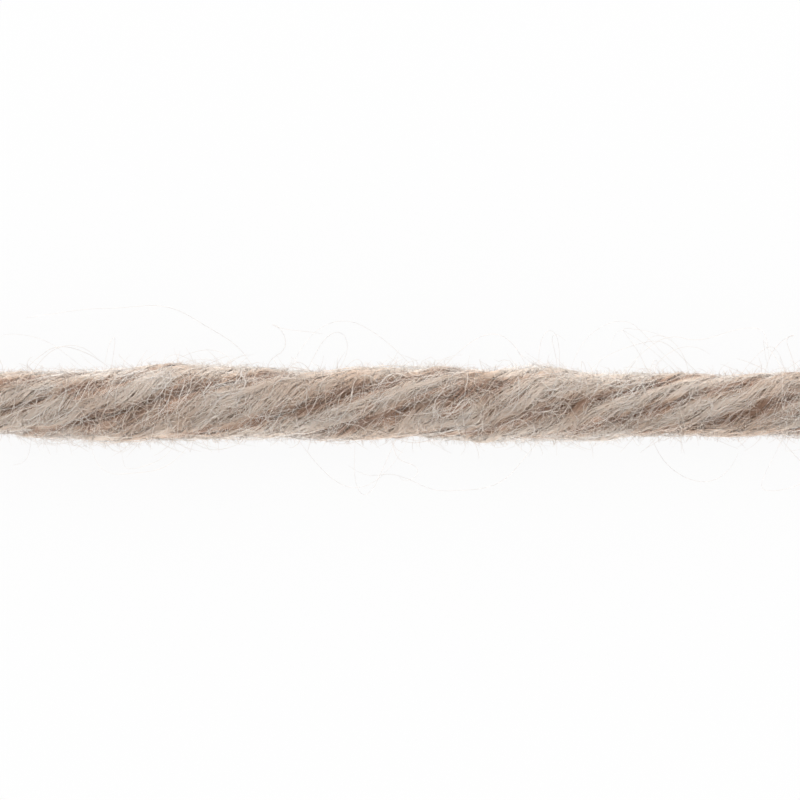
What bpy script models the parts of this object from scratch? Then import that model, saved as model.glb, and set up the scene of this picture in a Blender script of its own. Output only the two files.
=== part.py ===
"""A cut length of merino wool yarn, lying nearly straight along +X on a flat surface.

Five soft plies are laid together with a slow S twist. They are uneven: some valleys between
them are deep and some are shallow, and each ply swells and thins along its length. The
strand itself is thicker and thinner by turns, and pressed a little flat where it lies.
Units are metres, +Z is up, and the origin is under the middle of the strand.
"""

import math
from collections import namedtuple

import bmesh
import bpy

# Driving dimensions.
CUT_LENGTH = 0.036
LAY_ANGLE = math.radians(19.0)  # slope of a ply on the strand's surface, against its length
FIRST_VALLEY_X = -0.0094  # where the first ply's valley crosses the top of the strand
PRESSED_IN = 0.00012  # how far the underside is flattened by its own rest on the surface

# How the mesh is divided.
POINTS_PER_PLY = 10
RINGS = 80

# The cut ends open out a little.
END_BLOOM = 0.06
END_OPEN_VALLEYS = 0.35
END_REACH = 0.0025
END_DOME = 0.00022
END_ROUNDING = 0.93

# The strand's thickness, and how far it lies to the +Y side of the X axis, in millimetres.
Station = namedtuple("Station", "along thickness sideways")
STATIONS = (
    Station(-18.0, 2.30, 0.03),
    Station(-14.7, 2.20, 0.02),
    Station(-12.5, 2.45, -0.04),
    Station(-10.7, 2.65, -0.07),
    Station(-8.1, 2.80, 0.05),
    Station(-5.9, 2.62, 0.03),
    Station(-2.9, 2.48, 0.00),
    Station(-1.5, 2.60, 0.04),
    Station(0.4, 2.50, 0.08),
    Station(1.7, 2.62, 0.04),
    Station(3.3, 2.60, -0.04),
    Station(5.1, 2.70, 0.04),
    Station(7.4, 2.50, -0.08),
    Station(8.8, 2.32, -0.05),
    Station(10.3, 2.20, -0.03),
    Station(12.5, 2.18, -0.04),
    Station(14.5, 2.28, -0.03),
    Station(18.0, 2.40, 0.02),
)

# One row for each ply, in the order in which they come past the top along +X: its share of the
# way round, the depth of the valley before it as a share of the strand's radius, how much its
# crown rises and falls along the strand, over what length, and where in that wave it starts.
Ply = namedtuple("Ply", "share valley swell swell_length swell_start")
PLIES = (
    Ply(0.27, 0.28, 0.035, 0.0093, 0.3),
    Ply(0.17, 0.27, 0.045, 0.0121, 2.1),
    Ply(0.22, 0.30, 0.030, 0.0079, 4.0),
    Ply(0.15, 0.15, 0.050, 0.0108, 5.2),
    Ply(0.19, 0.13, 0.035, 0.0137, 1.2),
)
CROWN_ROUNDNESS = 0.97  # near 1 gives each ply's outline steep sides down into its valleys


def between(stations, along, column):
    """A column of the stations at a place along the strand, eased from one row to the next."""
    here = along * 1000
    for before, after in zip(stations, stations[1:]):
        if here <= after.along:
            part = max(0.0, (here - before.along) / (after.along - before.along))
            eased = (1 - math.cos(math.pi * part)) / 2
            start = getattr(before, column)
            return (start + (getattr(after, column) - start) * eased) / 1000
    return getattr(stations[-1], column) / 1000


def nearness_to_end(along):
    """0 in the run of the strand, rising to 1 at either cut end."""
    from_end = CUT_LENGTH / 2 - abs(along)
    return max(0.0, 1 - from_end / END_REACH) ** 2


def strand_radius(along):
    return between(STATIONS, along, "thickness") / 2 * (1 + END_BLOOM * nearness_to_end(along))


def twist_at_rings(places):
    """The turn of the plies at each place. Thin stretches take more twist than thick ones."""
    turn = 0.0
    turns = []
    for number, along in enumerate(places):
        if number:
            step = along - places[number - 1]
            turn += math.tan(LAY_ANGLE) * step / strand_radius(along - step / 2)
        turns.append(turn)
    start = min(range(len(places)), key=lambda number: abs(places[number] - FIRST_VALLEY_X))
    return [turn - turns[start] for turn in turns]


def valley_drop(across):
    """How far a ply's outline is below its crown, from 0 in its middle to 1 at its valleys."""
    lowest = 1 - math.sqrt(1 - CROWN_ROUNDNESS**2)
    return (1 - math.sqrt(1 - (CROWN_ROUNDNESS * across) ** 2)) / lowest


def ring_points(along, turn):
    """The strand's outline at one place: five crowns with valleys between them, flat underneath."""
    radius = strand_radius(along)
    sideways = between(STATIONS, along, "sideways")
    height = radius - PRESSED_IN
    opened = 1 + END_OPEN_VALLEYS * nearness_to_end(along)
    points = []
    valley_angle = turn
    for number, ply in enumerate(PLIES):
        width = -2 * math.pi * ply.share
        next_valley = PLIES[(number + 1) % len(PLIES)].valley
        wave = math.sin(2 * math.pi * along / ply.swell_length + ply.swell_start)
        crown = 1 - ply.swell * (1 - wave) / 2
        for step in range(POINTS_PER_PLY):
            across = 2 * step / POINTS_PER_PLY - 1
            valley = ply.valley if across < 0 else next_valley
            # The valley is one line, so a ply that has thinned meets it at its full depth.
            bottom = 1 - valley * opened
            reach = crown - (crown - bottom) * valley_drop(across)
            angle = valley_angle + width * step / POINTS_PER_PLY
            side = sideways + radius * reach * math.sin(angle)
            up = height + radius * reach * math.cos(angle)
            points.append((along, side, max(0.0, up)))
        valley_angle += width
    return points


def middle_of(outline):
    """The middle of an outline, across the strand."""
    count = len(outline)
    return sum(point[1] for point in outline) / count, sum(point[2] for point in outline) / count


def drawn_in(outline, share):
    """An outline drawn in towards its own middle, for the rounded rim of a cut end."""
    side, up = middle_of(outline)
    return [
        (along, side + (y - side) * share, max(0.0, up + (z - up) * share))
        for along, y, z in outline
    ]


def build_strand():
    rim = CUT_LENGTH / 2 - END_DOME
    places = [-rim + 2 * rim * number / (RINGS - 1) for number in range(RINGS)]
    turns = twist_at_rings(places)
    outlines = [ring_points(along, turn) for along, turn in zip(places, turns)]
    tips = [
        (-CUT_LENGTH / 2, *middle_of(outlines[0])),
        (CUT_LENGTH / 2, *middle_of(outlines[-1])),
    ]
    outlines[0] = drawn_in(outlines[0], END_ROUNDING)
    outlines[-1] = drawn_in(outlines[-1], END_ROUNDING)

    shape = bmesh.new()
    rings = [[shape.verts.new(point) for point in outline] for outline in outlines]
    for ring, after in zip(rings, rings[1:]):
        for number in range(len(ring)):
            beside = (number + 1) % len(ring)
            shape.faces.new((ring[number], ring[beside], after[beside], after[number]))
    for ring, tip in zip((rings[0], rings[-1]), tips):
        middle = shape.verts.new(tip)
        for number in range(len(ring)):
            shape.faces.new((ring[number], middle, ring[(number + 1) % len(ring)]))
    bmesh.ops.recalc_face_normals(shape, faces=shape.faces)

    mesh = bpy.data.meshes.new("yarn_strand")
    shape.to_mesh(mesh)
    shape.free()
    mesh.shade_smooth()
    return bpy.data.objects.new("yarn_strand", mesh)


def wool_material():
    material = bpy.data.materials.new("undyed_beige_wool")
    material.use_nodes = True
    surface = material.node_tree.nodes["Principled BSDF"]
    surface.inputs["Base Color"].default_value = (0.42, 0.34, 0.29, 1)
    surface.inputs["Roughness"].default_value = 0.9
    surface.inputs["Metallic"].default_value = 0.0
    return material


for old in list(bpy.data.objects):
    bpy.data.objects.remove(old)
strand = build_strand()
strand.data.materials.append(wool_material())
bpy.context.scene.collection.objects.link(strand)
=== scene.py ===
"""The looks of a cut length of soft plied merino yarn, lying on a pale floor."""

import math
from collections import namedtuple

import bpy
import numpy as np
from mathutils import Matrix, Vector


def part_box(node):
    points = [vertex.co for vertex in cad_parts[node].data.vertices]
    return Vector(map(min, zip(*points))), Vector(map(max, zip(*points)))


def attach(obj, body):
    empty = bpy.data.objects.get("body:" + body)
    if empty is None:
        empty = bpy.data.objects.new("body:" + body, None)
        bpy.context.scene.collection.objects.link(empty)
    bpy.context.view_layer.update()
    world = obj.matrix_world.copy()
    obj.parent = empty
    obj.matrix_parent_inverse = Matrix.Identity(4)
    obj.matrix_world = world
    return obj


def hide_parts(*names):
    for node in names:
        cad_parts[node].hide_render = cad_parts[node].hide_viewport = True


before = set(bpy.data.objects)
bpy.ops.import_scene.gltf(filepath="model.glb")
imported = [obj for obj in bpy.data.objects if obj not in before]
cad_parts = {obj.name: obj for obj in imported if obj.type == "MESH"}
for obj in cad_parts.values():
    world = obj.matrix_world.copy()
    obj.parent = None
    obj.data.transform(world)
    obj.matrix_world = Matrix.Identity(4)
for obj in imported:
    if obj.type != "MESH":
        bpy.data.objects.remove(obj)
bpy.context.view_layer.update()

# ---------------------------------------------------------------------------
# The body of the strand. Five soft plies of undyed wool are laid together with a slow S twist,
# thick and thin by turns, and this is their packed inside. Its colour is painted browner in its
# valleys, a painted shade for the little light that gets in there, and paler on its crowns, with
# the closest fibres showing as fine ridges along the lay.
# ---------------------------------------------------------------------------
MM = 0.001
CUT_LENGTH = 36 * MM
STRAND_DIAMETER = 2.5 * MM
MEAN_GIRTH = math.pi * STRAND_DIAMETER
LAY_ANGLE = math.radians(19.0)  # slope of a ply on the strand's surface, against its length
FIBRE_SLANT = math.radians(19.0)  # how much steeper than its ply a fibre lies
FIRST_VALLEY_X = -9.4 * MM  # where the first ply's valley crosses the top of the strand
PRESSED_IN = 0.12 * MM  # how far the strand flattens its own underside
END_BLOOM = 0.06
END_OPEN_VALLEYS = 0.35
END_REACH = 2.5 * MM
CROWN_ROUNDNESS = 0.97

BODY_RINGS = 289
BODY_AROUND = 80
BODY_SINK = 0.13 * MM
BODY_ENDS_IN = 0.30 * MM
BODY_LOWEST = 0.02 * MM
RIDGES_AROUND = (11, 14, 19, 25, 31)
RIDGE_HEIGHT = 0.014 * MM
# The body's ramp carries the wool's own streaks and painted shade: browner in the valleys, paler on
# the crowns.
BODY_DARK = (0.44, 0.265, 0.18, 1)
BODY_MIDDLE = (0.62, 0.44, 0.335, 1)
BODY_LIGHT = (0.82, 0.64, 0.52, 1)
BODY_ROUGHNESS = 0.9
BODY_THROUGH = 0.15
BODY_THROUGH_COLOUR = (0.6, 0.48, 0.40, 1)
BROAD_STREAKS = (500, 5000)  # so many to a metre along the lay, and across it
FINE_STREAKS = (900, 24000)
STREAK_DEPTH = 0.02 * MM
SHEEN_TINT = (1.0, 0.95, 0.90, 1)

# The strand's thickness, and how far it lies to the +Y side of the X axis, in millimetres.
Station = namedtuple("Station", "along thickness sideways")
STATIONS = (
    Station(-18.0, 2.30, 0.03),
    Station(-14.7, 2.20, 0.02),
    Station(-12.5, 2.45, -0.04),
    Station(-10.7, 2.65, -0.07),
    Station(-8.1, 2.80, 0.05),
    Station(-5.9, 2.62, 0.03),
    Station(-2.9, 2.48, 0.00),
    Station(-1.5, 2.60, 0.04),
    Station(0.4, 2.50, 0.08),
    Station(1.7, 2.62, 0.04),
    Station(3.3, 2.60, -0.04),
    Station(5.1, 2.70, 0.04),
    Station(7.4, 2.50, -0.08),
    Station(8.8, 2.32, -0.05),
    Station(10.3, 2.20, -0.03),
    Station(12.5, 2.18, -0.04),
    Station(14.5, 2.28, -0.03),
    Station(18.0, 2.40, 0.02),
)
ALL_STATIONS = Station(*(np.array(STATIONS) * MM).T)

# One row for each ply, in the order in which they come past the top along +X: its share of the
# way round, the depth of the valley before it as a share of the strand's radius, how much its
# crown rises and falls along the strand, over what length, and where in that wave it starts.
Ply = namedtuple("Ply", "share valley swell swell_length swell_start")
PLIES = (
    Ply(0.27, 0.28, 0.035, 9.3 * MM, 0.3),
    Ply(0.17, 0.27, 0.045, 12.1 * MM, 2.1),
    Ply(0.22, 0.30, 0.030, 7.9 * MM, 4.0),
    Ply(0.15, 0.15, 0.050, 10.8 * MM, 5.2),
    Ply(0.19, 0.13, 0.035, 13.7 * MM, 1.2),
)
ALL_PLIES = Ply(*np.array(PLIES).T)
PLY_STARTS = np.concatenate([[0.0], np.cumsum(ALL_PLIES.share)])


def between_stations(along, column):
    """A column of the stations at places along the strand, eased from one row to the next."""
    before = np.clip(np.searchsorted(ALL_STATIONS.along, along) - 1, 0, len(STATIONS) - 2)
    start = ALL_STATIONS.along[before]
    part = (along - start) / (ALL_STATIONS.along[before + 1] - start)
    eased = (1 - np.cos(np.pi * np.clip(part, 0, 1))) / 2
    return column[before] + (column[before + 1] - column[before]) * eased


def nearness_to_end(along):
    """0 in the run of the strand, rising to 1 at either cut end."""
    from_end = np.maximum(CUT_LENGTH / 2 - np.abs(along), 0)
    return np.maximum(0, 1 - from_end / END_REACH) ** 2


def strand_radius(along):
    radius = between_stations(along, ALL_STATIONS.thickness) / 2
    return radius * (1 + END_BLOOM * nearness_to_end(along))


# The turn of the plies all along the strand. Thin stretches take more twist than thick ones.
TWIST_PLACES = np.linspace(-CUT_LENGTH / 2 - MM, CUT_LENGTH / 2 + MM, 800)
TWIST_STEPS = math.tan(LAY_ANGLE) * np.diff(TWIST_PLACES) / strand_radius(TWIST_PLACES[1:])
TWIST_TURNS = np.concatenate([[0], np.cumsum(TWIST_STEPS)])
TWIST_TURNS -= np.interp(FIRST_VALLEY_X, TWIST_PLACES, TWIST_TURNS)


def on_strand(along, share, sink=0.0, valley_fill=0.0):
    """Points of the strand's surface, which way is out there, and how near each is to its ply's
    crown, from 0 to 1. They are given by the place along the strand and the share of the way
    round, counted with the twist. sink is a depth under the surface, and valley_fill lifts a
    point off the valley's bed, as a fibre that bridges it lies."""
    radius = strand_radius(along)
    share = share % 1.0
    number = np.clip(np.searchsorted(PLY_STARTS, share, side="right") - 1, 0, len(PLIES) - 1)
    ply = Ply(*(column[number] for column in ALL_PLIES))
    next_valley = ALL_PLIES.valley[(number + 1) % len(PLIES)]
    across = 2 * (share - PLY_STARTS[number]) / ply.share - 1
    valley = np.where(across < 0, ply.valley, next_valley)
    valley = valley * (1 + END_OPEN_VALLEYS * nearness_to_end(along))
    wave = np.sin(2 * np.pi * along / ply.swell_length + ply.swell_start)
    crown = 1 - ply.swell * (1 - wave) / 2
    lowest = 1 - math.sqrt(1 - CROWN_ROUNDNESS**2)
    drop = (1 - np.sqrt(1 - (CROWN_ROUNDNESS * across) ** 2)) / lowest
    reach = crown - (crown - 1 + valley) * drop * (1 - valley_fill)
    angle = np.interp(along, TWIST_PLACES, TWIST_TURNS) - 2 * np.pi * share
    out = np.stack([np.zeros_like(angle), np.sin(angle), np.cos(angle)], -1)
    sideways = between_stations(along, ALL_STATIONS.sideways)
    middle = np.stack([along, sideways, radius - PRESSED_IN], -1)
    return middle + out * (radius * reach - sink)[..., None], out, 1 - across**2


class Wire:
    """A socket of a material's nodes. Arithmetic on it adds Math nodes."""

    def __init__(self, tree, socket=None):
        self.tree = tree
        self.socket = socket

    def node(self, kind, settings=None, inputs=None, output=0):
        """Adds a node, with its settings first, and then its sockets' values or links."""
        made = self.tree.nodes.new(kind)
        for name, value in (settings or {}).items():
            if name == "stops":
                while len(made.color_ramp.elements) < len(value):
                    made.color_ramp.elements.new(0.5)
                for element, (place, colour) in zip(made.color_ramp.elements, value):
                    element.position = place
                    element.color = colour
            else:
                setattr(made, name, value)
        for name, value in (inputs or {}).items():
            if isinstance(value, Wire):
                self.tree.links.new(value.socket, made.inputs[name])
            else:
                made.inputs[name].default_value = value
        return Wire(self.tree, made.outputs[output] if made.outputs else None)

    def maths(self, operation, first, second):
        return self.node("ShaderNodeMath", {"operation": operation}, {0: first, 1: second})

    def __add__(self, other):
        return self.maths("ADD", self, other)

    def __mul__(self, other):
        return self.maths("MULTIPLY", self, other)

    def __sub__(self, other):
        return self.maths("SUBTRACT", self, other)

    def __rsub__(self, other):
        return self.maths("SUBTRACT", other, self)

    __radd__ = __add__
    __rmul__ = __mul__


def new_material(name):
    """An empty material, and a wire to start its nodes from."""
    material = bpy.data.materials.new(name)
    material.use_nodes = True
    material.node_tree.nodes.clear()
    return material, Wire(material.node_tree)


def finish_material(start, colour, roughness, through, through_colour, bump=None):
    """The wool's surface: a soft shader that lets some of the light behind it through."""
    sockets = {
        "Base Color": colour,
        "Roughness": roughness,
        "Specular IOR Level": 0.4,
        "Sheen Weight": 0.8,
        "Sheen Roughness": 0.45,
        "Sheen Tint": SHEEN_TINT,
    }
    if bump is not None:
        sockets["Normal"] = bump
    surface = start.node("ShaderNodeBsdfPrincipled", {}, sockets)
    behind = start.node("ShaderNodeBsdfTranslucent", {}, {"Color": through_colour})
    both = start.node("ShaderNodeMixShader", {}, {0: through, 1: surface, 2: behind})
    start.node("ShaderNodeOutputMaterial", {}, {"Surface": both})


def packed_wool():
    """Painted shade, brown in the valleys and paler on the crowns, over streaks of the wool's own
    tone that run along the lay.
    """
    material, start = new_material("packed_wool")
    untwisted = start.node("ShaderNodeAttribute", {"attribute_name": "untwisted"}, output=1)
    crown = start.node("ShaderNodeAttribute", {"attribute_name": "crown"}, output=2)

    def streaks(along, across):
        stretched = start.node(
            "ShaderNodeVectorMath",
            {"operation": "MULTIPLY"},
            {0: untwisted, 1: (along, across, across)},
        )
        return start.node(
            "ShaderNodeTexNoise",
            {},
            {"Vector": stretched, "Scale": 1.0, "Detail": 2.0, "Distortion": 0.5},
        )

    broad = streaks(*BROAD_STREAKS)
    fine = streaks(*FINE_STREAKS)
    # The crown term is painted shade, darker in the valleys and paler on the crowns. The streaks are
    # the wool's own tone.
    tone = crown * 0.35 + broad * 0.6 + fine * 1.2 - 0.75
    colour = start.node(
        "ShaderNodeValToRGB",
        {"stops": ((0.2, BODY_DARK), (0.5, BODY_MIDDLE), (0.8, BODY_LIGHT))},
        {"Fac": tone},
    )
    bump = start.node(
        "ShaderNodeBump", {}, {"Height": fine, "Strength": 0.6, "Distance": STREAK_DEPTH}
    )
    finish_material(start, colour, BODY_ROUGHNESS, BODY_THROUGH, BODY_THROUGH_COLOUR, bump)
    return material


def mesh_object(name, points, faces, material):
    """A smooth-shaded mesh of these points. faces is a list of arrays of corner numbers, one array
    for each number of corners."""
    mesh = bpy.data.meshes.new(name)
    mesh.vertices.add(len(points))
    mesh.vertices.foreach_set("co", np.asarray(points, np.float32).ravel())
    sizes = np.concatenate([np.full(len(block), block.shape[1]) for block in faces])
    corners = np.concatenate([block.ravel() for block in faces])
    mesh.loops.add(len(corners))
    mesh.loops.foreach_set("vertex_index", corners.astype(np.int32))
    mesh.polygons.add(len(sizes))
    starts = np.concatenate([[0], np.cumsum(sizes)[:-1]])
    mesh.polygons.foreach_set("loop_start", starts.astype(np.int32))
    mesh.update(calc_edges=True)
    mesh.validate()
    mesh.shade_smooth()
    mesh.materials.append(material)
    made = bpy.data.objects.new(name, mesh)
    bpy.context.scene.collection.objects.link(made)
    return made


def body_faces(rings, around):
    """Quads from ring to ring, and a fan at each end to its middle point."""
    ring, place = np.meshgrid(np.arange(rings - 1), np.arange(around), indexing="ij")
    beside = (place + 1) % around
    first, second = ring * around + place, ring * around + beside
    quads = np.stack([first, second, second + around, first + around], -1).reshape(-1, 4)
    rim = np.arange(around)
    beside = (rim + 1) % around
    last = (rings - 1) * around
    near_middle = np.full(around, rings * around)
    far_middle = near_middle + 1
    near = np.stack([rim, near_middle, beside], -1)
    far = np.stack([last + beside, far_middle, last + rim], -1)
    return [quads, np.concatenate([near, far])]


def strand_body():
    """The body, and the middle line that it follows."""
    draw = np.random.default_rng(11)
    reach = CUT_LENGTH / 2 - BODY_ENDS_IN
    along, share = np.meshgrid(
        np.linspace(-reach, reach, BODY_RINGS), np.arange(BODY_AROUND) / BODY_AROUND, indexing="ij"
    )
    ridges = np.zeros_like(along)
    for count in RIDGES_AROUND:
        slant = count * math.tan(FIBRE_SLANT) / MEAN_GIRTH * draw.uniform(0.6, 1.4)
        ridges += np.sin(2 * np.pi * (count * share + slant * along) + draw.uniform(0, 6.3))
    ring_points, _, crown = on_strand(along, share, BODY_SINK - RIDGE_HEIGHT * ridges)
    ring_points[..., 2] = np.maximum(ring_points[..., 2], BODY_LOWEST)
    centres = ring_points.mean(axis=1)
    points = np.concatenate([ring_points.reshape(-1, 3), centres[[0, -1]]])
    body = mesh_object("strand_body", points, body_faces(BODY_RINGS, BODY_AROUND), packed_wool())

    # Where each point would be with the fibres' slant taken out, so that streaks follow them.
    turned = 2 * np.pi * (share + math.tan(FIBRE_SLANT) * along / MEAN_GIRTH)
    radius = MEAN_GIRTH / (2 * np.pi)
    untwisted = np.stack([along, radius * np.cos(turned), radius * np.sin(turned)], -1)
    untwisted = np.concatenate([untwisted.reshape(-1, 3), [[-reach, 0, 0], [reach, 0, 0]]])
    place = body.data.attributes.new("untwisted", "FLOAT_VECTOR", "POINT")
    place.data.foreach_set("vector", untwisted.astype(np.float32).ravel())
    # The crown attribute drives the body's painted shade.
    height = body.data.attributes.new("crown", "FLOAT", "POINT")
    height.data.foreach_set("value", np.append(crown.ravel(), [0.5, 0.5]).astype(np.float32))
    return body, centres


body, body_path = strand_body()
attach(body, "root")
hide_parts("yarn_strand")

# ---------------------------------------------------------------------------
# The plies. Each is a soft roll of crimped merino fibres, and its fibres lie in tufts: small
# spindles of about thirty fibres, thickest in their middle, that come up out of the ply, run
# along it for one to three millimetres and go back in.
# ---------------------------------------------------------------------------
TUFTS = 300
FIBRES_IN_TUFT = 27
FIBRE_POINTS = 12
FIBRE_RADIUS = 0.0138 * MM
TUFT_REACH = 18.8 * MM  # how far the tufts' middles lie from the middle of the strand
TUFT_LENGTH = (1.4 * MM, 2.9 * MM)
TUFT_HALF_WIDTH = (0.14 * MM, 0.34 * MM)
TUFT_RISE = (0.04 * MM, 0.17 * MM)
TUFT_ROWS = (-0.62, 0.1, 0.66, -0.3, 0.4)  # from one valley of the ply, at -1, to the next, at 1
TUFTS_BRIDGING = 0.4
SHORTEST_FIBRE = 0.5 * MM
UNDERSIDE = 0.35 * MM  # below this height the strand hides its own fibres
CRIMP_LENGTH = (0.7 * MM, 1.3 * MM)
CRIMP_HEIGHT = (0.020 * MM, 0.050 * MM)
LEANING = 0.8
# The fibres' ramp carries each fibre's own tone and random patches, and on the plies also painted
# shade: browner deep down, paler on the crowns and where fibres stand up.
FIBRE_DARK = (0.45, 0.26, 0.17, 1)
FIBRE_MIDDLE = (0.81, 0.59, 0.44, 1)
FIBRE_LIGHT = (0.98, 0.82, 0.685, 1)
FIBRE_THROUGH = 0.32
FIBRE_THROUGH_COLOUR = (0.86, 0.83, 0.81, 1)
FIBRE_ROUGHNESS = 0.5
WOOL_PATCHES = 420.0  # patches to a metre

# How far the tufts differ from each other, and the fibres of a tuft among themselves. The first
# three are in degrees.
SLANT_VARIES = (8, 5)
BEND_VARIES = (16, 6)
SWING_VARIES = (14, 4)
TONE_VARIES = (0.15, 0.08)


def fibre_wool(name, dark, middle, light, through, through_colour):
    """Wool fibres, each of its own shade, in patches of paler and browner wool. On the plies' fibres
    the shade attribute also holds painted shade: browner deep down, paler on the crowns and where
    fibres stand up.
    """
    material, start = new_material(name)
    shade = start.node("ShaderNodeAttribute", {"attribute_name": "shade"}, output=2)
    place = start.node("ShaderNodeTexCoord", output=3)
    patches = start.node(
        "ShaderNodeTexNoise", {}, {"Vector": place, "Scale": WOOL_PATCHES, "Detail": 2.0}
    )
    tone = shade + patches * 2.4 - 1.2
    colour = start.node(
        "ShaderNodeValToRGB",
        {"stops": ((0.0, dark), (0.5, middle), (1.0, light))},
        {"Fac": tone},
    )
    finish_material(start, colour, FIBRE_ROUGHNESS, through, through_colour)
    return material


def unit(vectors):
    return vectors / np.maximum(np.linalg.norm(vectors, axis=-1, keepdims=True), 1e-12)


def fibre_map(fibre, step, corner, count, steps):
    """The map that the colours are laid out on. Each fibre has its own cell there, with its sides
    in the middle of the cell and its two tips at the cell's edges."""
    columns = 16
    rows = math.ceil(count / columns)
    cell = np.stack([fibre % columns, fibre // columns], -1).reshape(-1, 1, 2)
    place = np.stack(
        [
            np.stack([step, corner], -1),
            np.stack([step + 1, corner], -1),
            np.stack([step + 1, corner + 1], -1),
            np.stack([step, corner + 1], -1),
        ],
        -2,
    ).reshape(-1, 4, 2)
    sides = cell + 0.08 + 0.84 * place / np.array([steps - 1, 3])
    tip_cell = np.stack([np.arange(count) % columns, np.arange(count) // columns], -1)[:, None]
    near = tip_cell + np.array([[0.02, 0.1], [0.02, 0.9], [0.07, 0.5]])
    far = tip_cell + np.array([[0.98, 0.1], [0.98, 0.9], [0.93, 0.5]])
    flat = np.concatenate([part.reshape(-1, 2) for part in (sides, near, far)])
    return flat / np.array([columns, rows])


def fibre_bundle(name, paths, out, radii, shades, material, leaning=0.0):
    """One mesh of many thin closed fibres. paths and out hold a row of points for each fibre, radii
    the half-thickness at each point, and shades a number for each fibre or point. Fibres that lie
    close together shade as one soft mass, so leaning turns their normals out from the strand."""
    count, steps = paths.shape[:2]
    # No fibre sinks into the surface that the strand lies on.
    paths = paths.copy()
    paths[..., 2] = np.maximum(paths[..., 2], radii * 1.05)
    ahead = unit(np.gradient(paths, axis=1))
    side = unit(np.cross(ahead, out))
    up = np.cross(side, ahead)
    turn = np.arange(3) * 2 * np.pi / 3 + np.pi / 2
    round_it = side[:, :, None] * np.cos(turn)[:, None] + up[:, :, None] * np.sin(turn)[:, None]
    points = paths[:, :, None] + round_it * radii[:, :, None, None]

    fibre, step, corner = np.meshgrid(
        np.arange(count), np.arange(steps - 1), np.arange(3), indexing="ij"
    )
    base = (fibre * steps + step) * 3
    beside = (corner + 1) % 3
    quads = np.stack([base + corner, base + 3 + corner, base + 3 + beside, base + beside], -1)
    first = np.arange(count)[:, None] * steps * 3
    last = first + (steps - 1) * 3
    tips = np.concatenate([first + np.array([0, 1, 2]), last + np.array([2, 1, 0])])
    made = mesh_object(name, points.reshape(-1, 3), [quads.reshape(-1, 4), tips], material)

    if leaning:
        # Where the strand is cut, its fibres come apart and shade as round threads again.
        leaning = leaning * (1 - nearness_to_end(paths[..., 0]))[..., None, None]
        normals = unit(round_it * (1 - leaning) + out[:, :, None] * leaning)
        made.data.normals_split_custom_set_from_vertices(normals.reshape(-1, 3).tolist())

    flat = fibre_map(fibre, step, corner, count, steps)
    layer = made.data.uv_layers.new(name="OFBake")
    layer.uv.foreach_set("vector", flat.astype(np.float32).ravel())
    shades = np.broadcast_to(shades.reshape(count, -1), (count, steps)).clip(0, 1)
    shade = made.data.attributes.new("shade", "FLOAT", "POINT")
    shade.data.foreach_set("value", np.repeat(shades.ravel(), 3).astype(np.float32))
    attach(made, "root")
    return made


def cut_to_length(middle, length, steps, draw):
    """Steps along each fibre, from -0.5 to 0.5 of its length, stopped where the strand is cut off."""
    cut = CUT_LENGTH / 2 + draw.uniform(-0.12, 0.10, middle.shape) * MM
    low = np.clip((-cut - middle) / length, -0.5, 0.5)
    high = np.clip((cut - middle) / length, -0.5, 0.5)
    return low[..., None] + (high - low)[..., None] * np.linspace(0, 1, steps)


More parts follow.
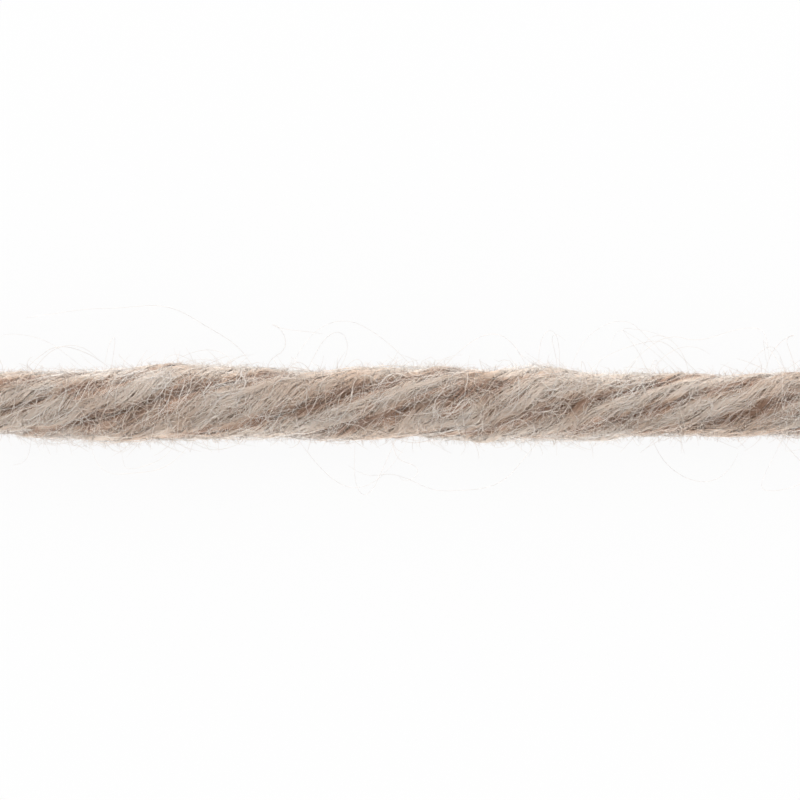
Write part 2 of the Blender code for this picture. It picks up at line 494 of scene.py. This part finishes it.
def ply_fibres(number, tufts, fibres, steps, bridging_share, draw):
    """Fibres of one ply in small tufts. The fibres of a tuft share a place, a slant, a bend and the
    beat of their crimp, and the tuft swells in its middle. Some tufts bridge the ply's valley. A
    tuft of one fibre lies flat, a little under the others."""
    ply = PLIES[number]
    tufts = round(tufts * ply.share)
    shape = (tufts, fibres)

    def for_tuft(low, high):
        """One number for each tuft, which all its fibres share."""
        return (draw.uniform(low, high, (tufts, 1)) * np.ones(shape))[..., None]

    def for_fibre(sd_of_tuft, sd_of_fibre):
        """A number for each fibre, around one for its tuft."""
        tuft = draw.normal(0, sd_of_tuft, (tufts, 1))
        return (tuft + draw.normal(0, sd_of_fibre, shape))[..., None]

    spacing = 2 * TUFT_REACH / tufts
    middle = (np.arange(tufts)[:, None] + 0.5 + draw.uniform(-0.5, 0.5, (tufts, 1))) * spacing
    middle = middle - TUFT_REACH + draw.normal(0, 0.22 * MM, shape)
    length = for_tuft(*TUFT_LENGTH)[..., 0] * draw.uniform(0.7, 1.2, shape)
    step = cut_to_length(middle, length, steps, draw)
    run = step * length[..., None]

    slant = -FIBRE_SLANT + np.radians(for_fibre(*SLANT_VARIES))
    bend = np.tan(np.radians(for_fibre(*BEND_VARIES)))
    swing = np.tan(np.radians(for_fibre(*SWING_VARIES)))
    swell = (1 - np.abs(2 * step) ** 2).clip(0) ** 0.5
    lateral = draw.normal(0, 0.5, shape)[..., None]
    half_width = for_tuft(*TUFT_HALF_WIDTH)
    crimp_length = for_tuft(*CRIMP_LENGTH) * draw.uniform(0.92, 1.08, shape)[..., None]
    crimp = for_tuft(*CRIMP_HEIGHT) * draw.uniform(0.5, 1.5, shape)[..., None]
    wave = 2 * np.pi * run / crimp_length + for_tuft(0, 6.3) + draw.normal(0, 0.8, shape)[..., None]
    aside = np.tan(slant) * run + half_width * lateral * (0.35 + 0.65 * swell)
    aside = aside + crimp * np.sin(wave)
    aside = aside + (bend * (step**2 - 0.08) + swing * step * (1 - 4 * step**2)) * length[..., None]

    bridging = draw.uniform(0, 1, (tufts, 1, 1)) < bridging_share
    if fibres > 1:
        places = np.resize(TUFT_ROWS, tufts)[:, None, None]
        places = places + draw.uniform(-0.22, 0.22, (tufts, 1, 1))
        under = draw.exponential(0.03 * MM, (tufts, 1, 1)).clip(0, 0.10 * MM)
        lift = for_tuft(*TUFT_RISE) * swell * np.exp(-1.5 * lateral**2)
        lift = lift * (0.2 + 0.8 * draw.uniform(0, 1, shape)[..., None] ** 0.5)
    else:
        places = draw.uniform(-0.95, 0.95, (tufts, 1, 1))
        under = draw.uniform(0.0, 0.09 * MM, (tufts, 1, 1))
        lift = 0 * swell
    across = places + 2 * aside / (ply.share * MEAN_GIRTH)
    # A tuft that bridges no valley bends round and stays on its own ply.
    across = np.where(bridging, across, across / (1 + np.abs(across) ** 6) ** (1 / 6))
    share = PLY_STARTS[number] + ply.share * (across + 1) / 2
    dive = 0.10 * MM * np.abs(2 * step) ** 4
    sink = under + dive + 0.03 * MM - lift + 0.5 * crimp * np.cos(wave)
    along = middle[..., None] + run * math.cos(LAY_ANGLE)
    fill = np.where(bridging, 0.6, 0.05)
    points, out, crown = on_strand(along, share, sink, valley_fill=fill)

    taper = 1 - 0.6 * np.abs(2 * step) ** 4
    radii = FIBRE_RADIUS * draw.uniform(0.8, 1.2, shape)[..., None] * taper
    # Painted shade: fibres on the crowns and fibres that stand up are painted paler, and those that
    # lie deep browner, on top of each fibre's own tone.
    tone = for_fibre(*TONE_VARIES)
    shades = 0.31 + tone + 2.0 * (crown - 0.6) + 3.0 * lift / MM - 1.5 * under / MM
    # Half the fibres are enough on the underside, and those that the cut left very short go.
    hidden = (points[:, :, steps // 2, 2] < UNDERSIDE) & (draw.uniform(0, 1, shape) < 0.5)
    kept = (run[..., -1] - run[..., 0] > SHORTEST_FIBRE) & ~hidden
    return points[kept], out[kept], radii[kept], shades[kept]


ply_material = fibre_wool(
    "spun_wool", FIBRE_DARK, FIBRE_MIDDLE, FIBRE_LIGHT, FIBRE_THROUGH, FIBRE_THROUGH_COLOUR
)
for number in range(len(PLIES)):
    draw = np.random.default_rng(100 + number)
    tufts = ply_fibres(number, TUFTS, FIBRES_IN_TUFT, FIBRE_POINTS, TUFTS_BRIDGING, draw)
    fibre_bundle(f"ply_{number + 1}_tufts", *tufts, ply_material, LEANING)

# ---------------------------------------------------------------------------
# The fibres under the tufts. Single fibres lie flat on each ply, and fill the gaps between its
# tufts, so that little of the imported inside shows.
# ---------------------------------------------------------------------------
UNDER_FIBRES = 1300
UNDER_FIBRE_POINTS = 8
UNDER_FIBRES_BRIDGING = 0.15

under_parts = []
for number in range(len(PLIES)):
    draw = np.random.default_rng(200 + number)
    under_parts.append(
        ply_fibres(number, UNDER_FIBRES, 1, UNDER_FIBRE_POINTS, UNDER_FIBRES_BRIDGING, draw)
    )
under_all = [np.concatenate(parts) for parts in zip(*under_parts)]
under_piece = fibre_bundle("under_fibres", *under_all, ply_material, LEANING)

# ---------------------------------------------------------------------------
# The cut ends. Scissors leave the ends of all the fibres showing, a little uneven and a
# little spread, over the whole cross-section.
# ---------------------------------------------------------------------------
END_FIBRES = 850
END_FIBRE_POINTS = 5
END_FIBRE_RADIUS = 0.02 * MM
END_FIBRE_LENGTH = (0.9 * MM, 1.5 * MM)
END_DEPTH = 1.2 * MM  # from the strand's surface to its middle
END_UNEVEN = 0.07 * MM


def cut_end(name, towards, seed, material):
    draw = np.random.default_rng(seed)
    share = draw.uniform(0, 1, END_FIBRES)[:, None]
    from_rim = 1 - np.sqrt(draw.uniform(0, 1, END_FIBRES))[:, None]
    step = np.linspace(0, 1, END_FIBRE_POINTS)
    length = draw.uniform(*END_FIBRE_LENGTH, (END_FIBRES, 1))
    tip = CUT_LENGTH / 2 + draw.normal(0.0, END_UNEVEN, (END_FIBRES, 1))
    along = towards * (tip - length * (1 - step))
    # Each fibre comes up a little as it comes out, so the outermost ones reach the rim.
    sink = from_rim * END_DEPTH + (0.14 - 0.22 * step**2) * MM
    share = share + draw.normal(0, 0.012, (END_FIBRES, 1)) * step**2
    points, out, _ = on_strand(along, share, sink, valley_fill=0.1)
    radii = END_FIBRE_RADIUS * draw.uniform(0.7, 1.2, (END_FIBRES, 1)) * (1 - 0.2 * step)
    shades = draw.normal(0.75, 0.18, END_FIBRES).clip(0, 1)
    return fibre_bundle(name, points, out, radii, shades, material)


end_pieces = [
    cut_end("cut_end_fibres_right", 1, 31, ply_material),
    cut_end("cut_end_fibres_left", -1, 32, ply_material),
]

# ---------------------------------------------------------------------------
# The nap. Short fibre ends and shorter fuzz stand off the plies all round, and small loops bow
# out from them. They are single fibres, almost clear, so they look paler than the wool below.
# ---------------------------------------------------------------------------
NAP_ENDS = 5800
NAP_END_POINTS = 5
NAP_LOOPS = 320
LOOP_POINTS = 15
FUZZ = 8000
FUZZ_POINTS = 3
NAP_REACH = 17.9 * MM  # how far the roots lie from the middle of the strand
LOOP_REACH = 17.0 * MM
NAP_RISE = 0.22 * MM
NAP_HIGHEST = 0.8 * MM
FUZZ_HEIGHT = (0.12 * MM, 0.36 * MM)
FUZZ_LEAN = (0.08 * MM, 0.34 * MM)
FUZZ_LOWEST = 0.3 * MM
LOOP_LENGTH = (0.7 * MM, 2.6 * MM)
LOOP_BOW = 0.16 * MM
LOOP_RISE = 0.11 * MM
LOOP_HIGHEST = 0.6 * MM
ROOT_DEPTH = 0.08 * MM
NAP_RADIUS = 0.0077 * MM
NAP_DARK = (0.66, 0.54, 0.455, 1)
NAP_MIDDLE = (0.81, 0.69, 0.60, 1)
NAP_LIGHT = (0.92, 0.83, 0.75, 1)
NAP_THROUGH = 0.6
NAP_THROUGH_COLOUR = (0.82, 0.80, 0.78, 1)


def nap_ends(material):
    draw = np.random.default_rng(41)
    step = np.linspace(0, 1, NAP_END_POINTS)
    shape = (NAP_ENDS, 1)
    length = draw.gamma(3.0, 0.28 * MM, shape) + 0.3 * MM
    heading = np.radians(draw.normal(0, 38, shape)) + np.pi * draw.integers(0, 2, shape)
    turned = heading + draw.normal(0, 1.3, shape) * step
    start = draw.uniform(-NAP_REACH, NAP_REACH, shape)
    along = start + np.cumsum(np.cos(turned), axis=1) * length / NAP_END_POINTS
    aside = np.cumsum(np.sin(turned), axis=1) * length / NAP_END_POINTS
    share = draw.uniform(0, 1, shape) + aside / MEAN_GIRTH
    rise = draw.exponential(NAP_RISE, shape).clip(0, NAP_HIGHEST)
    lift = rise * step ** draw.uniform(0.3, 1.3, shape) - ROOT_DEPTH
    on_it = along.clip(-CUT_LENGTH / 2, CUT_LENGTH / 2)
    points, out, _ = on_strand(on_it, share, -lift, valley_fill=0.2)
    points[..., 0] = along
    radii = NAP_RADIUS * draw.uniform(0.75, 1.2, shape) * (1 - 0.6 * step**2)
    shades = draw.normal(0.55, 0.2, NAP_ENDS)
    return fibre_bundle("nap_fibre_ends", points, out, radii, shades, material)


def nap_loops(material):
    draw = np.random.default_rng(42)
    step = np.linspace(0, 1, LOOP_POINTS)
    shape = (NAP_LOOPS, 1)
    length = draw.uniform(*LOOP_LENGTH, shape)
    heading = np.radians(draw.normal(0, 40, shape))
    bow = draw.normal(0, LOOP_BOW, shape)
    arch = np.sin(np.pi * step)
    start = draw.uniform(-LOOP_REACH, LOOP_REACH, shape)
    along = start + (step - 0.5) * length * np.cos(heading)
    aside = (step - 0.5) * length * np.sin(heading) + bow * arch
    share = draw.uniform(0, 1, shape) + aside / MEAN_GIRTH
    rise = draw.exponential(LOOP_RISE, shape).clip(0, LOOP_HIGHEST)
    lift = rise * arch**1.2 - ROOT_DEPTH / 2
    points, out, _ = on_strand(along, share, -lift, valley_fill=0.5)
    radii = NAP_RADIUS * draw.uniform(0.8, 1.2, shape) * np.ones(LOOP_POINTS)
    shades = draw.normal(0.6, 0.2, NAP_LOOPS).clip(0, 1)
    return fibre_bundle("nap_loops", points, out, radii, shades, material)


def fuzz(material):
    draw = np.random.default_rng(43)
    step = np.linspace(0, 1, FUZZ_POINTS)
    shape = (FUZZ, 1)
    height = draw.uniform(*FUZZ_HEIGHT, shape)
    heading = draw.uniform(0, 2 * np.pi, shape)
    lean = draw.uniform(*FUZZ_LEAN, shape) * step**1.3
    along = draw.uniform(-NAP_REACH, NAP_REACH, shape) + np.cos(heading) * lean
    share = draw.uniform(0, 1, shape) + np.sin(heading) * lean / MEAN_GIRTH
    sink = ROOT_DEPTH - (height + 0.05 * MM) * step
    points, out, _ = on_strand(along, share, sink, valley_fill=0.2)
    radii = NAP_RADIUS * draw.uniform(0.9, 1.3, shape) * (1 - 0.5 * step**2)
    shades = draw.normal(0.7, 0.2, FUZZ)
    # None is needed where the strand lies on its own underside.
    seen = points[:, FUZZ_POINTS // 2, 2] > FUZZ_LOWEST
    parts = points[seen], out[seen], radii[seen], shades[seen]
    return fibre_bundle("nap_fuzz", *parts, material)


nap_material = fibre_wool(
    "loose_wool", NAP_DARK, NAP_MIDDLE, NAP_LIGHT, NAP_THROUGH, NAP_THROUGH_COLOUR
)
nap_pieces = [nap_ends(nap_material), nap_loops(nap_material), fuzz(nap_material)]

# ---------------------------------------------------------------------------
# The stray fibres. Single fibres have slipped out of the tufts and lie over them, bent this way
# and that, and some bridge the valleys in loose curls. Their colours are painted paler than the
# plies' fibres, a painted highlight for the light they catch, so they show as pale threads over
# the browner wool.
# ---------------------------------------------------------------------------
# The strays' pale colours are a painted highlight.
STRAY_MIDDLE = (0.90, 0.80, 0.71, 1)
STRAY_LIGHT = (0.98, 0.92, 0.86, 1)
STRAY_THROUGH = 0.25
STRAY_THROUGH_COLOUR = (0.80, 0.76, 0.72, 1)
STRAY_REACH = (-17.7 * MM, 17.4 * MM)
STRAY_RISE = (0.03 * MM, 0.12 * MM)
STRAY_WAVE = (0.9 * MM, 2.4 * MM)

# How many fibres there are, with how many points each, how long, how far their headings spread in
# degrees, how far each curls, how well they bridge a valley, how thick they are, and how pale.
Strays = namedtuple("Strays", "fibres points length spread curl valley_fill radius shade")
STRAIGHT_STRAYS = Strays(1500, 12, (1.0 * MM, 2.6 * MM), 20, 0.9, 0.2, 0.0090 * MM, 0.45)
CURLED_STRAYS = Strays(320, 21, (1.5 * MM, 4.5 * MM), 45, 2.4, 0.6, 0.0098 * MM, 0.8)


def stray_fibres(name, kind, seed, material):
    """Single fibres that lie on the strand, each with its own heading and its own curl."""
    draw = np.random.default_rng(seed)
    shape = (kind.fibres, 1)
    step = np.linspace(0, 1, kind.points)
    length = draw.uniform(*kind.length, shape)
    heading = FIBRE_SLANT + np.radians(draw.normal(0, kind.spread, shape))
    heading = heading + draw.normal(0, kind.curl, shape) * (step - 0.5)
    beat = draw.uniform(*STRAY_WAVE, shape)
    heading = heading + draw.uniform(0.2, 0.9, shape) * np.sin(
        2 * np.pi * step * length / beat + draw.uniform(0, 6.3, shape)
    )
    along = draw.uniform(*STRAY_REACH, shape)
    along = along + np.cumsum(np.cos(heading), 1) * length / kind.points
    aside = np.cumsum(np.sin(heading), 1) * length / kind.points
    share = draw.uniform(0, 1, shape) - aside / MEAN_GIRTH
    ends_in = np.abs(2 * step - 1) ** 6 * 0.12 * MM
    lift = draw.uniform(*STRAY_RISE, shape) - ends_in
    on_it = along.clip(-CUT_LENGTH / 2, CUT_LENGTH / 2)
    points, out, _ = on_strand(on_it, share, -lift, valley_fill=kind.valley_fill)
    radii = kind.radius * draw.uniform(0.8, 1.2, shape) * (1 - 0.4 * np.abs(2 * step - 1) ** 4)
    shades = draw.normal(kind.shade, 0.16, kind.fibres).clip(0, 1)
    # None is needed where the strand lies on its own underside.
    seen = points[:, kind.points // 2, 2] > UNDERSIDE
    parts = points[seen], out[seen], radii[seen], shades[seen]
    return fibre_bundle(name, *parts, material, LEANING)


stray_material = fibre_wool(
    "stray_wool", FIBRE_MIDDLE, STRAY_MIDDLE, STRAY_LIGHT, STRAY_THROUGH, STRAY_THROUGH_COLOUR
)
stray_piece = stray_fibres("stray_fibres", STRAIGHT_STRAYS, 50, stray_material)
curl_piece = stray_fibres("curled_fibres", CURLED_STRAYS, 51, stray_material)

# ---------------------------------------------------------------------------
# The fly-aways. A few long fibres have worked loose and stand off the strand in wide arcs, up
# to its own thickness away, held only where they go back into a ply.
# ---------------------------------------------------------------------------
FLYAWAYS = 50
FLYAWAY_POINTS = 46
FLYAWAY_RADIUS = 0.006 * MM
FLYAWAY_REACH = 16.5 * MM
FLYAWAY_WAVE = (2.5 * MM, 6 * MM)
FLYAWAY_ROOT = 0.06 * MM  # how deep in the ply it starts
FURTHEST_OUT = 2.4 * MM


def flyaways(material):
    draw = np.random.default_rng(61)
    step = np.linspace(0, 1, FLYAWAY_POINTS)
    shape = (FLYAWAYS, 1)
    length = draw.gamma(3.0, 1.9 * MM, shape) + 1.5 * MM
    forward = np.radians(draw.normal(0, 45, shape)) + np.pi * draw.integers(0, 2, shape)
    heading = forward + draw.normal(0, 1.6, shape) * step
    sway = draw.uniform(0, 0.7, shape)
    beat = draw.uniform(*FLYAWAY_WAVE, shape)
    sway = sway * np.sin(2 * np.pi * step * length / beat + draw.uniform(0, 6.3, shape))
    heading = heading + sway
    climb = draw.uniform(0.2, 1.2, shape) * np.cos(np.pi * step * draw.uniform(0.5, 1.15, shape))
    stride = length / FLYAWAY_POINTS
    start = draw.uniform(-FLYAWAY_REACH, FLYAWAY_REACH, shape)
    along = start + np.cumsum(np.cos(heading) * np.cos(climb), 1) * stride
    aside = np.cumsum(np.sin(heading) * np.cos(climb), 1) * stride
    rise = np.cumsum(np.sin(climb), 1) * stride
    lift = FURTHEST_OUT * np.tanh(rise / FURTHEST_OUT) - FLYAWAY_ROOT
    # Further out, the same step to the side is a smaller share of the way round.
    further = 1 + lift.clip(0) / (STRAND_DIAMETER / 2)
    share = draw.uniform(0, 1, shape) + aside / MEAN_GIRTH / further
    kept = along.clip(-CUT_LENGTH / 2, CUT_LENGTH / 2)
    points, out, _ = on_strand(kept, share, -lift, valley_fill=1.0)
    points[..., 0] = kept + (along - kept) * 0.3
    radii = FLYAWAY_RADIUS * draw.uniform(0.8, 1.15, shape) * (1 - 0.5 * step**3)
    shades = draw.normal(0.6, 0.2, FLYAWAYS).clip(0, 1)
    return fibre_bundle("flyaway_fibres", points, out, radii, shades, material)


flyaway_piece = flyaways(nap_material)

# ---------------------------------------------------------------------------
# The floor. A pale, even surface, lit from below like a light table, so that the strand
# throws next to no shadow on it.
# ---------------------------------------------------------------------------
FLOOR_SIDE = 1.2
FLOOR_GLOW = 0.92


def pale_floor():
    half = FLOOR_SIDE / 2
    corners = np.array([[-half, -half, 0], [half, -half, 0], [half, half, 0], [-half, half, 0]])
    material, start = new_material("pale_floor")
    surface = start.node(
        "ShaderNodeBsdfPrincipled",
        {},
        {
            "Base Color": (0.05, 0.05, 0.05, 1),
            "Roughness": 1.0,
            "Specular IOR Level": 0.0,
            "Emission Color": (1, 1, 1, 1),
            "Emission Strength": FLOOR_GLOW,
        },
    )
    start.node("ShaderNodeOutputMaterial", {}, {"Surface": surface})
    return mesh_object("floor", corners, [np.array([[0, 1, 2, 3]])], material)


floor = pale_floor()

# ---------------------------------------------------------------------------
# The light and the camera. White surroundings light the strand from all over, and a wide soft
# lamp beyond it makes its far side a little brighter. The camera looks straight down.
# ---------------------------------------------------------------------------
WALLS = 5.3  # how much brighter the surroundings are at the sides than overhead
FADE = 1.9  # how fast they darken from the sides up
CEILING = 0.33
LAMP_POWER = 0.70
LAMP_SIDE = 0.35
LAMP_PLACE = (0.0, 0.28, 0.30)
VIEW_WIDTH = 29.4 * MM
LENS_MM = 150.0  # long, so that the strand is seen nearly without perspective
VIEW_CENTRE = (0.0, 0.15 * MM)

world = bpy.data.worlds.new("white_room")
world.use_nodes = True
world.node_tree.nodes.clear()
room = Wire(world.node_tree)
direction = room.node("ShaderNodeTexCoord", output=0)
upwards = room.node("ShaderNodeSeparateXYZ", {}, {"Vector": direction}, output=2)
sideways = 1 - upwards
brightness = sideways.maths("POWER", sideways, FADE) * WALLS + CEILING
glow = room.node("ShaderNodeBackground", {}, {"Color": (1, 1, 1, 1), "Strength": brightness})
room.node("ShaderNodeOutputWorld", {}, {"Surface": glow})
bpy.context.scene.world = world

lamp_data = bpy.data.lights.new("soft_lamp", "AREA")
lamp_data.energy = LAMP_POWER
lamp_data.size = LAMP_SIDE
lamp = bpy.data.objects.new("soft_lamp", lamp_data)
lamp.location = LAMP_PLACE
lamp.rotation_euler = (-Vector(LAMP_PLACE)).to_track_quat("-Z", "Y").to_euler()
bpy.context.scene.collection.objects.link(lamp)

camera_data = bpy.data.cameras.new("camera")
camera_data.lens = LENS_MM
camera_data.clip_start = 0.005
camera = bpy.data.objects.new("camera", camera_data)
strand_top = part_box("yarn_strand")[1][2]
distance = VIEW_WIDTH * LENS_MM / camera_data.sensor_width
camera.location = (VIEW_CENTRE[0], VIEW_CENTRE[1], strand_top / 2 + distance)
bpy.context.scene.collection.objects.link(camera)
bpy.context.scene.camera = camera
bpy.context.scene.view_settings.view_transform = "Standard"
